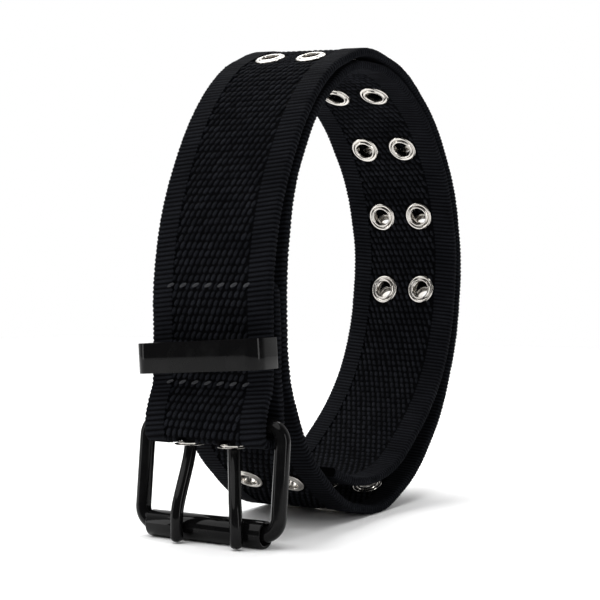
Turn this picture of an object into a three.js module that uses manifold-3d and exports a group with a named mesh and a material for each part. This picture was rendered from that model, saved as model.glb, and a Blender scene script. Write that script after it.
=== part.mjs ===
import * as THREE from 'three';
import { mergeVertices } from 'three/addons/utils/BufferGeometryUtils.js';
import Module from 'manifold-3d';

// A webbing belt, coiled in two turns and standing on edge, with a double-prong roller buckle.
// Millimetres. X runs from the buckle leg to the back of the coil, Y across the webbing, Z up.

// Webbing
const strapWidth = 38;
const strapThickness = 2.6;
const bandFromEyelet = 0.25;
const centreRecess = 0.4;

// Coil
const coilDepth = 122.6;
const coilHeight = 139.4;
const layerGap = 1;
const restSink = 0.6;
const tipTurn = 659;
const topFlare = 2.2;

// Eyelets, in pairs along the webbing
const eyeletPitch = 25.4;
const eyeletRowSpacing = 13.9;
const eyeletFlangeDiameter = 9.6;
const eyeletWasherDiameter = 9;
const eyeletBore = 5.2;
const eyeletWall = 0.45;
const eyeletRise = 0.45;
const eyeletSeatGap = 0.12;
const eyeletSides = 10;
const eyeletHoleSides = 8;
const eyeletFlatMargin = 0.95;
const firstPairTurn = 70.8;
const pairCount = 21;

// Buckle frame, a closed loop of round wire
const wireDiameter = 4.5;
const frameClearWidth = 39.2;
const frameSideShift = -0.15;
const frameDrop = 28.2;
const frameCornerRadius = 4.5;
const frameTilt = 6;

// Roller on the lower bar
const rollerDiameter = 7.2;
const rollerWall = 0.75;
const rollerLength = 36.6;

// Prongs
const prongDiameter = 3.6;
const prongRingWidth = 3;
const prongRingWall = 1.3;
const prongLeanLeft = 1;
const prongLeanRight = 6;
const prongEyeRoom = 0.35;
const prongPocketRoom = 0.45;
const prongTipShare = 0.6;
const prongEyeletBore = 6;
const prongEyeletDepth = 1.9;
const prongEyeletFromBar = 1.3;

// Fold of the webbing round the top bar
const foldWidth = 11.8;
const foldBarRoom = 1.2;
const barFromLeg = 2.1;
const foldCornerRadius = 2.1;
const tailLength = 43;
const tailCorner = 4.6;
const tailCornerStart = 0.2;

// Keeper loop
const keeperHeight = 8.2;
const keeperThickness = 0.5;
const keeperRoom = 6.9;
const keeperSideGap = 0.4;
const keeperRise = 49.6;
const keeperRoll = 3.3;
const keeperCornerRadius = 4;
const keeperBackRadius = 1;

// Clearance between pieces that touch or turn
const gap = 0.3;

// Flat facets of the curved faces: sides of a round, steps of a corner, longest straight run
const roundSides = 16;
const grommetSides = 12;
const wireSides = 8;
const cornerSteps = 4;
const foldSteps = 3;
const legRun = 9;
const pairRun = 7;
const tipRun = 9;
const lineSamples = 3600;
const weldDistance = 1e-4;

// Outer face of the webbing, as shares of the coil's half depth and half height.
// turn is counted in degrees from the front, up over the top and round.
const coilSections = [
  { turn: 0, reach: 1.0 },
  { turn: 15, reach: 0.979 },
  { turn: 30, reach: 0.965 },
  { turn: 45, reach: 0.973 },
  { turn: 60, reach: 0.989 },
  { turn: 75, reach: 1.001 },
  { turn: 90, reach: 1.0 },
  { turn: 105, reach: 0.996 },
  { turn: 120, reach: 0.997 },
  { turn: 135, reach: 1.004 },
  { turn: 150, reach: 1.013 },
  { turn: 165, reach: 1.014 },
  { turn: 180, reach: 0.996 },
  { turn: 195, reach: 0.975 },
  { turn: 210, reach: 0.963 },
  { turn: 225, reach: 0.963 },
  { turn: 240, reach: 0.968 },
  { turn: 255, reach: 0.98 },
  { turn: 270, reach: 1.0 },
  { turn: 285, reach: 0.99 },
  { turn: 300, reach: 0.974 },
  { turn: 315, reach: 0.966 },
  { turn: 330, reach: 0.953 },
  { turn: 345, reach: 0.92 },
  { turn: 360, reach: 0.889 },
  { turn: 375, reach: 0.893 },
  { turn: 390, reach: 0.904 },
  { turn: 405, reach: 0.92 },
];
const turnStep = 15;

// The last stretch, which falls clear of the turn outside it and ends against the rising front
const tipSections = [
  { turn: 540, reach: 0.93 },
  { turn: 555, reach: 0.902 },
  { turn: 570, reach: 0.873 },
  { turn: 585, reach: 0.842 },
  { turn: 600, reach: 0.828 },
  { turn: 615, reach: 0.848 },
  { turn: 630, reach: 0.859 },
  { turn: 645, reach: 0.878 },
  { turn: 660, reach: 0.905 },
];

// Opening between the folded-back tail and the ply in front of it, at shares of the tail's length,
// as shares of the room that the keeper's back strip needs
const tailOpenings = [
  { along: 1, opening: 0.4 },
  { along: 0.84, opening: 0.4 },
  { along: 0.62, opening: 1 },
  { along: 0.38, opening: 1 },
];

// The fold's two plies beside the bar: inset from the fold's own face as shares of the webbing's
// thickness, and rise above the bar as shares of the fold's width
const foldBack = { inset: 0.135, rise: 0.36 };
const foldFront = [
  { inset: 0.04, rise: 0.085 },
  { inset: 0.5, rise: 0.424 },
  { inset: 1.27, rise: 0.73 },
];

const strapColour = 0x15161a;
const blackMetalColour = 0x0b0b0c;
const nickelColour = 0xc9c6c0;

const wasm = await Module();
wasm.setup();

const halfWidth = strapWidth / 2;
const edgeBandWidth = halfWidth - (eyeletRowSpacing + eyeletFlangeDiameter) / 2 - bandFromEyelet;
const halfThickness = strapThickness / 2;
const wireRadius = wireDiameter / 2;
const rollerRadius = rollerDiameter / 2;
const prongRadius = prongDiameter / 2;
const eyeletFlat = eyeletFlangeDiameter + 2 * eyeletFlatMargin;
const coilCentreHeight = coilHeight / 2 - restSink;
const legFace = -coilDepth / 2;

// The top bar hangs where the frame, tilted forward, stands on its roller
const tilt = THREE.MathUtils.degToRad(frameTilt);
const frameDirection = new THREE.Vector2(-Math.sin(tilt), -Math.cos(tilt));
const bar = new THREE.Vector2(legFace + barFromLeg, rollerRadius + frameDrop * Math.cos(tilt));
const foldFace = bar.y - wireRadius - foldBarRoom - strapThickness;
const rollerAxis = bar.clone().addScaledVector(frameDirection, frameDrop);

// A closed mesh with shared corners becomes a solid for joining and cutting
function toSolid(geometry) {
  const bare = geometry.clone();
  bare.deleteAttribute('normal');
  bare.deleteAttribute('uv');
  const merged = mergeVertices(bare, weldDistance);
  return new wasm.Manifold(new wasm.Mesh({
    numProp: 3,
    vertProperties: new Float32Array(merged.attributes.position.array),
    triVerts: new Uint32Array(merged.index.array),
  }));
}

function toGeometry(solid) {
  const mesh = solid.getMesh();
  const geometry = new THREE.BufferGeometry();
  geometry.setAttribute('position', new THREE.BufferAttribute(new Float32Array(mesh.vertProperties), 3));
  geometry.setIndex(new THREE.BufferAttribute(new Uint32Array(mesh.triVerts), 1));
  return geometry;
}

// Joins rings of points, each given in the same order, into one closed skin
function skin(rings, closed) {
  const count = rings[0].length;
  const corners = rings.flat();
  const positions = corners.flatMap((point) => [point.x, point.y, point.z]);
  const index = [];
  const steps = closed ? rings.length : rings.length - 1;
  for (let step = 0; step < steps; step++) {
    const here = step * count;
    const next = ((step + 1) % rings.length) * count;
    for (let side = 0; side < count; side++) {
      const after = (side + 1) % count;
      index.push(here + side, next + side, next + after);
      index.push(here + side, next + after, here + after);
    }
  }
  if (!closed) {
    const flat = rings[0].map((point) => sectionCoordinates(point, rings[0]));
    const cap = THREE.ShapeUtils.triangulateShape(flat, []);
    const last = (rings.length - 1) * count;
    for (const [a, b, c] of cap) {
      index.push(a, b, c);
      index.push(last + a, last + c, last + b);
    }
  }
  const geometry = new THREE.BufferGeometry();
  geometry.setAttribute('position', new THREE.Float32BufferAttribute(positions, 3));
  geometry.setIndex(index);
  return outward(geometry);
}

// Flat coordinates of a ring's point in the ring's own plane
function sectionCoordinates(point, ring) {
  const origin = ring[0];
  const along = ring[1].clone().sub(origin).normalize();
  const normal = new THREE.Vector3();
  for (let side = 1; side < ring.length - 1; side++) {
    const a = ring[side].clone().sub(origin);
    const b = ring[side + 1].clone().sub(origin);
    normal.add(a.cross(b));
  }
  normal.normalize();
  const across = new THREE.Vector3().crossVectors(normal, along);
  const offset = point.clone().sub(origin);
  return new THREE.Vector2(offset.dot(along), offset.dot(across));
}

// Turns a closed mesh's faces outward when its volume comes out negative
function outward(geometry) {
  const position = geometry.attributes.position;
  const index = geometry.index.array;
  const a = new THREE.Vector3();
  const b = new THREE.Vector3();
  const c = new THREE.Vector3();
  let volume = 0;
  for (let corner = 0; corner < index.length; corner += 3) {
    a.fromBufferAttribute(position, index[corner]);
    b.fromBufferAttribute(position, index[corner + 1]);
    c.fromBufferAttribute(position, index[corner + 2]);
    volume += a.dot(b.clone().cross(c));
  }
  if (volume < 0) {
    for (let corner = 0; corner < index.length; corner += 3) {
      const swap = index[corner + 1];
      index[corner + 1] = index[corner + 2];
      index[corner + 2] = swap;
    }
  }
  return geometry;
}

// Outer face of the first turn, for a row of the coil's table
function coilPoint({ turn, reach }) {
  const angle = THREE.MathUtils.degToRad(turn);
  return new THREE.Vector2(
    -Math.cos(angle) * (coilDepth / 2) * reach,
    coilCentreHeight + Math.sin(angle) * (coilHeight / 2) * reach,
  );
}

// Outer face through both turns. Between the tables the webbing lies one layer inside the turn before.
function coilFace() {
  const face = coilSections.map(coilPoint);
  const fullTurn = 360 / turnStep;
  const layerStep = strapThickness + layerGap;
  while (face.length < tipSections[0].turn / turnStep) {
    const below = face.length - fullTurn;
    const run = face[below + 1].clone().sub(face[below - 1]).normalize();
    const inward = new THREE.Vector2(run.y, -run.x);
    face.push(face[below].clone().addScaledVector(inward, layerStep));
  }
  return [...face, ...tipSections.map(coilPoint)];
}

// Middle line of the webbing from the leg to the tip, in close steps with its length at each
function middleLine() {
  const face = coilFace();
  const legBottom = bar.y + foldWidth;
  const legRows = [0, 0.5].map((share) => new THREE.Vector2(
    legFace,
    THREE.MathUtils.lerp(legBottom, coilCentreHeight, share),
  ));
  const curve = new THREE.SplineCurve([...legRows, ...face]);
  const samples = curve.getPoints(lineSamples);
  const lastShare = (legRows.length + tipTurn / turnStep) / (legRows.length + face.length - 1);
  const line = [];
  let length = 0;
  for (let i = 1; i < samples.length - 1; i++) {
    const share = i / (samples.length - 1);
    const run = samples[i + 1].clone().sub(samples[i - 1]).normalize();
    const point = samples[i].clone().addScaledVector(new THREE.Vector2(run.y, -run.x), halfThickness);
    point.y = Math.max(point.y, halfThickness);
    if (line.length) {
      length += point.distanceTo(line[line.length - 1].point);
    }
    const turn = (share * (legRows.length + face.length - 1) - legRows.length) * turnStep;
    line.push({ point, length, turn });
    if (share > lastShare) {
      break;
    }
  }
  return line;
}

const line = middleLine();
const lineEnd = line[line.length - 1].length;

function pointAt(length) {
  const after = line.findIndex((row) => row.length >= length);
  const next = line[Math.max(after, 1)];
  const before = line[Math.max(after, 1) - 1];
  const share = (length - before.length) / (next.length - before.length);
  return before.point.clone().lerp(next.point, share);
}

const firstPair = line.find((row) => row.turn >= firstPairTurn).length;
const pairLengths = Array.from({ length: pairCount }, (_, pair) => firstPair + pair * eyeletPitch);

// Places along the middle line where the webbing bends: straight under each pair of eyelets
function bendLengths() {
  const bends = [];
  const addRun = (from, to, longest) => {
    const steps = Math.max(1, Math.ceil((to - from) / longest));
    for (let step = 0; step < steps; step++) {
      bends.push(from + ((to - from) * step) / steps);
    }
  };
  addRun(0, firstPair - eyeletFlat / 2, legRun);
  pairLengths.forEach((middle, pair) => {
    bends.push(middle - eyeletFlat / 2);
    const end = pair + 1 < pairCount ? pairLengths[pair + 1] - eyeletFlat / 2 : lineEnd;
    addRun(middle + eyeletFlat / 2, end, pair + 1 < pairCount ? pairRun : tipRun);
  });
  bends.push(lineEnd);
  return bends;
}

// The fold, from the tail's end down, under the bar and up to the leg
function foldLine() {
  const half = foldWidth / 2 - halfThickness;
  const bottom = foldFace + halfThickness;
  const keeperSpace = keeperThickness + 2 * gap;
  const points = tailOpenings.map(({ along, opening }) => new THREE.Vector2(
    legFace + halfThickness + strapThickness + keeperSpace * opening,
    bottom + foldCornerRadius + tailLength * along,
  ));
  points.push(new THREE.Vector2(
    bar.x + half - foldBack.inset * strapThickness,
    bar.y + foldBack.rise * foldWidth,
  ));
  const corner = (centreX, from) => {
    for (let step = 0; step <= foldSteps; step++) {
      const angle = from - (Math.PI / 2) * (step / foldSteps);
      points.push(new THREE.Vector2(
        centreX + Math.cos(angle) * foldCornerRadius,
        bottom + foldCornerRadius + Math.sin(angle) * foldCornerRadius,
      ));
    }
  };
  corner(bar.x + half - foldCornerRadius, 0);
  corner(bar.x - half + foldCornerRadius, -Math.PI / 2);
  const front = foldFront.map(({ inset, rise }) => new THREE.Vector2(
    bar.x - half + inset * strapThickness,
    bar.y + rise * foldWidth,
  ));
  return [...points, ...front];
}

// Section of the webbing: raised bands along both edges, recessed between
function strapSection() {
  const band = halfWidth - edgeBandWidth;
  const shallow = halfThickness - centreRecess;
  return [
    [halfWidth, halfThickness],
    [band, halfThickness],
    [band, shallow],
    [-band, shallow],
    [-band, halfThickness],
    [-halfWidth, halfThickness],
    [-halfWidth, -halfThickness],
    [-band, -halfThickness],
    [-band, -shallow],
    [band, -shallow],
    [band, -halfThickness],
    [halfWidth, -halfThickness],
  ];
}

function strapPath() {
  return [...foldLine(), ...bendLengths().map(pointAt)];
}

// The far edge of the coil's top stands higher than the near edge
function lift(point) {
  const share = THREE.MathUtils.clamp((point.z - coilCentreHeight) / (coilHeight / 2), 0, 1);
  return topFlare * (point.y / strapWidth + 0.5) * share ** 2;
}

function settled(point) {
  return new THREE.Vector3(point.x, point.y, point.z + lift(point));
}

// Sweeps the section along the path, mitred at each bend so that the walls keep their thickness
function sweepStrap(path) {
  const rings = path.map((point, i) => {
    const before = path[Math.max(i - 1, 0)];
    const after = path[Math.min(i + 1, path.length - 1)];
    const runIn = i ? point.clone().sub(before).normalize() : after.clone().sub(point).normalize();
    const runOut = i < path.length - 1 ? after.clone().sub(point).normalize() : runIn.clone();
    const run = runIn.clone().add(runOut).normalize();
    const normal = new THREE.Vector2(-run.y, run.x);
    const stretch = 1 / normal.dot(new THREE.Vector2(-runIn.y, runIn.x));
    return strapSection().map(([across, out]) => settled(new THREE.Vector3(
      point.x + normal.x * out * stretch,
      across,
      point.y + normal.y * out * stretch,
    )));
  });
  return toSolid(skin(rings, false));
}

// Middle and outward normal of the flat under an eyelet in the given row
function eyeletSeat(length, row) {
  const start = pointAt(length - eyeletFlat / 2);
  const end = pointAt(length + eyeletFlat / 2);
  const near = settled(new THREE.Vector3(start.x, row, start.y));
  const far = settled(new THREE.Vector3(end.x, row, end.y));
  const middle = near.clone().lerp(far, 0.5);
  const aside = settled(new THREE.Vector3(middle.x, row + 1, (start.y + end.y) / 2)).sub(middle);
  const normal = new THREE.Vector3().crossVectors(far.sub(near), aside).normalize();
  return { middle, normal: normal.negate() };
}

const rowOffsets = { left: eyeletRowSpacing / 2, right: -eyeletRowSpacing / 2 };

function alongNormal(normal) {
  return new THREE.Quaternion().setFromUnitVectors(new THREE.Vector3(0, 1, 0), normal);
}

function drill(radius, depth, centre, normal, sides) {
  const rod = new THREE.CylinderGeometry(radius, radius, depth, sides);
  rod.rotateY(Math.PI / sides);
  rod.applyQuaternion(alongNormal(normal));
  rod.translate(centre.x, centre.y, centre.z);
  return toSolid(rod);
}

const upward = new THREE.Vector3(0, 0, 1);
const drillDepth = strapThickness + 2 * gap;
const eyeletHole = (eyeletBore / 2 + eyeletWall + gap) / Math.cos(Math.PI / eyeletHoleSides);
const prongEyelet = {
  x: bar.x - prongEyeletFromBar,
  face: foldFace,
};
const ringInner = wireRadius + prongEyeRoom;
const ringOuter = ringInner + prongRingWall;

function makeStrap() {
  let strap = sweepStrap(strapPath());
  for (const length of pairLengths) {
    for (const row of Object.values(rowOffsets)) {
      const { middle, normal } = eyeletSeat(length, row);
      strap = strap.subtract(drill(eyeletHole, drillDepth, middle, normal, eyeletHoleSides));
    }
  }
  for (const row of Object.values(rowOffsets)) {
    const mouth = new THREE.Vector3(prongEyelet.x, row, prongEyelet.face + halfThickness);
    const radius = prongEyeletBore / 2 + eyeletWall + gap;
    strap = strap.subtract(drill(radius, drillDepth, mouth, upward, grommetSides));
    const pocket = new THREE.CylinderGeometry(
      ringOuter + prongPocketRoom,
      ringOuter + prongPocketRoom,
      prongRingWidth + 2 * prongPocketRoom,
      roundSides,
    );
    pocket.translate(bar.x, row, bar.y);
    strap = strap.subtract(toSolid(pocket));
  }
  strap = strap.subtract(tailCorners());
  return toGeometry(strap);
}

// Wedges that round the two corners of the folded-back tail's end
function tailCorners() {
  const fold = foldLine();
  const top = fold[0];
  const centreAcross = halfWidth + tailCornerStart - tailCorner;
  const centreRise = top.y + tailCornerStart - tailCorner;
  const outline = new THREE.Shape();
  outline.moveTo(centreAcross, top.y + 1);
  outline.lineTo(halfWidth + 1, top.y + 1);
  outline.lineTo(halfWidth + 1, centreRise);
  outline.absarc(centreAcross, centreRise, tailCorner, 0, Math.PI / 2, false);
  const depth = strapThickness + 2 * gap;
  const onTail = new THREE.Matrix4().set(
    0, 0, 1, top.x - depth / 2,
    1, 0, 0, 0,
    0, 1, 0, 0,
    0, 0, 0, 1,
  );
  const near = new THREE.ExtrudeGeometry(outline, { depth, bevelEnabled: false, curveSegments: 3 });
  near.applyMatrix4(onTail);
  const far = near.clone();
  far.scale(1, -1, 1);
  const index = [];
  const count = far.attributes.position.count;
  for (let corner = 0; corner < count; corner += 3) {
    index.push(corner, corner + 2, corner + 1);
  }
  far.setIndex(index);
  return toSolid(near).add(toSolid(far));
}

// Rolled barrel with a flange on the outer face and a smaller washer on the inner face
function eyeletGeometry() {
  const seat = halfThickness - centreRecess + eyeletSeatGap;
  const profile = [
    [eyeletBore / 2, seat + eyeletRise],
    [eyeletFlangeDiameter / 2, seat],
    [eyeletBore / 2 + eyeletWall, seat],
    [eyeletBore / 2 + eyeletWall, -seat],
    [eyeletWasherDiameter / 2, -seat],
    [eyeletBore / 2, -seat - eyeletRise],
  ];
  return lathe(profile, eyeletSides);
}

// Barrel and outer flange of the eyelets that the prongs pass through
function prongEyeletGeometry() {
  const profile = [
    [prongEyeletBore / 2, prongEyeletDepth],
    [prongEyeletBore / 2, -eyeletSeatGap - eyeletRise],
    [eyeletFlangeDiameter / 2, -eyeletSeatGap],
    [prongEyeletBore / 2 + eyeletWall, -eyeletSeatGap],
    [prongEyeletBore / 2 + eyeletWall, prongEyeletDepth],
  ];
  return lathe(profile, grommetSides);
}

function lathe(profile, sides) {
  const closed = [...profile, profile[0]].map(([radius, height]) => new THREE.Vector2(radius, height));
  const geometry = new THREE.LatheGeometry(closed, sides);
  geometry.deleteAttribute('normal');
  geometry.deleteAttribute('uv');
  return outward(mergeVertices(geometry, weldDistance));
}

// Ring of corners round a wire's middle, in the plane of two directions across it
function wireRing(middle, first, second, radius) {
  return Array.from({ length: wireSides }, (_, side) => {
    const angle = (2 * Math.PI * (side + 0.5)) / wireSides;
    return middle.clone()
      .addScaledVector(first, Math.cos(angle) * radius)
      .addScaledVector(second, Math.sin(angle) * radius);
  });
}

// Rounded rectangle of wire in the plane of the hanging frame
function frameGeometry() {
  const halfSpan = frameClearWidth / 2 + wireRadius;
  const rings = [];
  const normal = new THREE.Vector3(frameDirection.y, 0, -frameDirection.x);
  const corners = [
    { across: 1, down: 1, from: 0 },
    { across: -1, down: 1, from: 90 },
    { across: -1, down: 0, from: 180 },
    { across: 1, down: 0, from: 270 },
  ];
  for (const { across, down, from } of corners) {
    const centreAcross = across * (halfSpan - frameCornerRadius);
    const centreDown = down ? frameDrop - frameCornerRadius : frameCornerRadius;
    for (let step = 0; step <= cornerSteps; step++) {
      const angle = THREE.MathUtils.degToRad(from + (90 * step) / cornerSteps);
      const outX = Math.cos(angle);
      const outDown = Math.sin(angle);
      const middle = framePoint(
        centreDown + outDown * frameCornerRadius,
        centreAcross + outX * frameCornerRadius,
      );
      const outwards = framePoint(outDown, outX).sub(framePoint(0, 0));
      rings.push(wireRing(middle, outwards, normal, wireRadius));
    }
  }
  return skin(rings, true);
}

function framePoint(down, across) {
  return new THREE.Vector3(
    bar.x + frameDirection.x * down,
    across + frameSideShift,
    bar.y + frameDirection.y * down,
  );
}

function rollerGeometry() {
  const inner = rollerRadius - rollerWall;
  const half = rollerLength / 2;
  return lathe([[inner, half], [inner, -half], [rollerRadius, -half], [rollerRadius, half]], roundSides);
}

// Middle of a prong's shank from the eye to the tip. out and down are shares of the way from the
// bar to the roller's front, and aside the share of its sideways lean
const prongSections = [
  { out: 0.07, down: 0.1, aside: 0 },
  { out: 0.1, down: 0.22, aside: 0.02 },
  { out: 0.27, down: 0.38, aside: 0.2 },
  { out: 0.6, down: 0.58, aside: 0.54 },
  { out: 0.93, down: 0.78, aside: 0.88 },
  { out: 1, down: 0.9, aside: 0.97 },
  { out: 1, down: 1.06, aside: 1 },
  { out: 1, down: 1.11, aside: 1 },
];

// A prong: an eye round the bar and a shank through its eyelet, bent down over the roller's front
function prongGeometry(row, lean) {
  const front = rollerAxis.x - rollerRadius - gap - prongRadius;
  const points = prongSections.map(({ out, down, aside }) => new THREE.Vector3(
    THREE.MathUtils.lerp(bar.x, front, out),
    row - lean * aside,
    THREE.MathUtils.lerp(bar.y, rollerAxis.y, down),
  ));
  const last = points.length - 1;
  const rings = points.map((point, i) => {
    const run = points[Math.min(i + 1, last)].clone().sub(points[Math.max(i - 1, 0)]).normalize();
    const first = new THREE.Vector3(0, 1, 0).addScaledVector(run, -run.y).normalize();
    const second = new THREE.Vector3().crossVectors(run, first);
    return wireRing(point, first, second, i === last ? prongRadius * prongTipShare : prongRadius);
  });
  const eye = lathe([
    [ringInner, prongRingWidth / 2],
    [ringInner, -prongRingWidth / 2],
    [ringOuter, -prongRingWidth / 2],
    [ringOuter, prongRingWidth / 2],
  ], roundSides);
  eye.translate(bar.x, row, bar.y);
  return toGeometry(toSolid(eye).add(toSolid(skin(rings, false))));
}

// Thin metal band round the front ply, held captive between it and the tail
function keeperGeometry() {
  const half = keeperThickness / 2;
  const front = legFace - keeperRoom - half;
  const back = legFace + strapThickness + gap + half;
  const side = halfWidth + keeperSideGap + half;
  const corners = [
    { x: front, y: side, radius: keeperCornerRadius, from: 90 },
    { x: front, y: -side, radius: keeperCornerRadius, from: 180 },
    { x: back, y: -side, radius: keeperBackRadius, from: 270 },
    { x: back, y: side, radius: keeperBackRadius, from: 0 },
  ];
  const rings = [];
  for (const { x, y, radius, from } of corners) {
    const centre = new THREE.Vector2(
      x - Math.sign(x - (front + back) / 2) * radius,
      y - Math.sign(y) * radius,
    );
    const steps = radius === keeperBackRadius ? cornerSteps / 2 : cornerSteps;
    for (let step = 0; step <= steps; step++) {
      const angle = THREE.MathUtils.degToRad(from + (90 * step) / steps);
      const out = new THREE.Vector2(Math.cos(angle), Math.sin(angle));
      rings.push([[half, 0.5], [half, -0.5], [-half, -0.5], [-half, 0.5]].map(([thick, high]) => (
        new THREE.Vector3(
          centre.x + out.x * (radius + thick),
          centre.y + out.y * (radius + thick),
          high * keeperHeight,
        )
      )));
    }
  }
  return skin(rings, true);
}

const webbing = new THREE.MeshStandardMaterial({ color: strapColour, roughness: 0.95, metalness: 0 });
const blackMetal = new THREE.MeshStandardMaterial({
  color: blackMetalColour,
  roughness: 0.3,
  metalness: 0.6,
});
const nickel = new THREE.MeshStandardMaterial({ color: nickelColour, roughness: 0.25, metalness: 1 });

const belt = new THREE.Group();

function place(name, geometry, material) {
  const mesh = new THREE.Mesh(geometry, material.clone());
  mesh.name = name;
  belt.add(mesh);
  return mesh;
}

place('strap', makeStrap(), webbing);

const eyelet = eyeletGeometry();
pairLengths.forEach((length, pair) => {
  const number = String(pair + 1).padStart(2, '0');
  for (const [side, row] of Object.entries(rowOffsets)) {
    const { middle, normal } = eyeletSeat(length, row);
    const mesh = place(`eyelet_${side}_${number}`, eyelet, nickel);
    mesh.position.copy(middle);
    mesh.quaternion.copy(alongNormal(normal));
  }
});

const grommet = prongEyeletGeometry();
for (const [side, row] of Object.entries(rowOffsets)) {
  const mesh = place(`prong_eyelet_${side}`, grommet, nickel);
  mesh.position.set(prongEyelet.x, row, prongEyelet.face);
  mesh.quaternion.copy(alongNormal(upward));
}

place('frame', frameGeometry(), blackMetal);

const roller = place('roller', rollerGeometry(), blackMetal);
roller.position.set(rollerAxis.x, frameSideShift, rollerAxis.y);

place('prong_left', prongGeometry(rowOffsets.left, prongLeanLeft), blackMetal);
place('prong_right', prongGeometry(rowOffsets.right, prongLeanRight), blackMetal);

const keeper = place('keeper', keeperGeometry(), blackMetal);
keeper.position.z = keeperRise;
keeper.rotation.x = -THREE.MathUtils.degToRad(keeperRoll);

// The origin is under the middle of the whole belt, on the surface that it stands on
belt.updateMatrixWorld(true);
const reach = new THREE.Box3().setFromObject(belt, true);
belt.position.x = -(reach.min.x + reach.max.x) / 2;

export default belt;
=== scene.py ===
"""A coiled webbing belt with eyelets and a double-prong roller buckle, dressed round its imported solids."""
import functools
import math

import bpy
import numpy as np
from bpy.props import FloatProperty, FloatVectorProperty, IntProperty, PointerProperty
from mathutils import Matrix, Vector


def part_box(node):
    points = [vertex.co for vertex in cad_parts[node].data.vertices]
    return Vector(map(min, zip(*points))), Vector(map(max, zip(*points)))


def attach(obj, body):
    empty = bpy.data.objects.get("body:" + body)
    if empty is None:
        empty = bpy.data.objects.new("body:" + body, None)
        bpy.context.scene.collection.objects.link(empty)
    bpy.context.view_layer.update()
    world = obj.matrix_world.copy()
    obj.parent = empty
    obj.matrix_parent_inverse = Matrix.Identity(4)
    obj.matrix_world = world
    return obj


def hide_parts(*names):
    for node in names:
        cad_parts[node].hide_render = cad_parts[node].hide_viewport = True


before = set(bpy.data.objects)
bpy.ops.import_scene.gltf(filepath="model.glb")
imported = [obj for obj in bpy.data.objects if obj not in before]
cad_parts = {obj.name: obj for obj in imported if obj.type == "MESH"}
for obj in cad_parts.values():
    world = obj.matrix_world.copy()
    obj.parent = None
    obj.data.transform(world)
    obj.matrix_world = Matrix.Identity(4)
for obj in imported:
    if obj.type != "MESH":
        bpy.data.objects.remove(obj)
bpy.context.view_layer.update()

bl_info = {
    "name": "Webbing belt",
    "version": (1, 0, 0),
    "blender": (4, 5, 0),
    "location": "View3D > Sidebar > Belt",
    "description": "Coiled webbing belt with paired eyelets and a double-prong roller buckle",
    "category": "Add Mesh",
}

MM = 0.001

# Outer face of the coil every 15 degrees, as shares of its half depth and half height
COIL_REACH = (
    1.0, 0.979, 0.965, 0.973, 0.989, 1.001, 1.0, 0.996, 0.997, 1.004, 1.013, 1.014, 0.996, 0.975,
    0.963, 0.963, 0.968, 0.98, 1.0, 0.99, 0.974, 0.966, 0.953, 0.92, 0.889, 0.893, 0.904, 0.92,
)
TIP_REACH = (0.93, 0.902, 0.873, 0.842, 0.828, 0.848, 0.859, 0.878, 0.905)
TURN_STEP = 15
TIP_START = 540

# Height up the tail as a share of its length, and its opening as a share of the keeper's room
TAIL_OPENINGS = ((1, 0.4), (0.84, 0.4), (0.62, 1), (0.38, 1))

# Inset from the fold's face as a share of the webbing's thickness, and rise as a share of its width
FOLD_BACK = (0.135, 0.36)
FOLD_FRONT = ((0.04, 0.085), (0.5, 0.424), (1.27, 0.73))

# Middle of a prong: shares of the way out to the roller's front and down to its axis, and of its lean
PRONG_SECTIONS = (
    (0.03, 0.06, 0), (0.07, 0.14, 0), (0.1, 0.22, 0.02), (0.17, 0.3, 0.1), (0.27, 0.38, 0.2),
    (0.43, 0.48, 0.37), (0.6, 0.58, 0.54), (0.77, 0.68, 0.71), (0.91, 0.77, 0.87), (0.98, 0.84, 0.95),
    (1, 0.92, 0.98), (1, 1.0, 1), (1, 1.06, 1),
)
# How a prong's end rounds off: steps down, and the size of each ring against the one above
PRONG_TIP = ((0.0006, 0.96), (0.0005, 0.84), (0.00035, 0.6), (0.00015, 0.3))

# (radius, height) in millimetres from the webbing's middle: outer flange, barrel, washer
EYELET_PROFILE = (
    (2.72, 0.0), (2.72, 1.15), (2.8, 1.42), (2.98, 1.58), (3.2, 1.6), (3.42, 1.48), (3.56, 1.24),
    (3.66, 1.08), (3.78, 1.12), (4.0, 1.3), (4.3, 1.3), (4.62, 1.12), (4.8, 0.88), (4.74, 0.76),
    (3.05, 0.74), (3.05, -0.74), (4.4, -0.76), (4.5, -0.9), (4.36, -1.12), (4.06, -1.26), (3.8, -1.2),
    (3.66, -1.06), (3.52, -1.14), (3.36, -1.38), (3.1, -1.5), (2.88, -1.46), (2.76, -1.3), (2.72, -1.05),
)
PRONG_EYELET_PROFILE = (
    (2.9, 0.3), (2.9, 0.1), (2.96, -0.1), (3.1, -0.2), (3.4, -0.2), (3.75, -0.13), (4.0, -0.1),
    (4.15, -0.06), (4.2, 0.02), (4.12, 0.12), (3.2, 0.12), (3.2, 0.5), (2.9, 0.5),
)

# Small fits of the webbing's path, in metres
PATH_STEP = 0.00025
CURVE_SAMPLES = 3600
LONGEST_STRAIGHT = 0.0025
TIGHT_ROUNDING = 0.0005
LOOSE_ROUNDING = 0.0024
LOOSENS_BEFORE_LEG = 0.009
LOOSENS_OVER = 0.012
TAIL_PLAY = 0.0006
PRONG_EYELET_BEFORE_BAR = 0.0013
SEARCH_REACH = 0.01

# The plain ground of the webbing
GROUND_THICKNESS = 0.00135
GROUND_UNDER_BANDS = 0.0006
GROUND_STEP = 0.001
EYELET_HOLE_RADIUS = 0.0033
MERGE_DISTANCE = 0.00002

# The ribbed edge bands
RIB_GROOVE = 0.00011
BAND_ROUNDING = 0.00085
# One rib: shares of the pitch, and how far each step grows towards the crest
RIB_STEPS = ((0.3, 0.8), (0.2, 0.2), (0.2, -0.2), (0.3, -0.8))
YARN_WOBBLE = 0.00004

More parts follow.
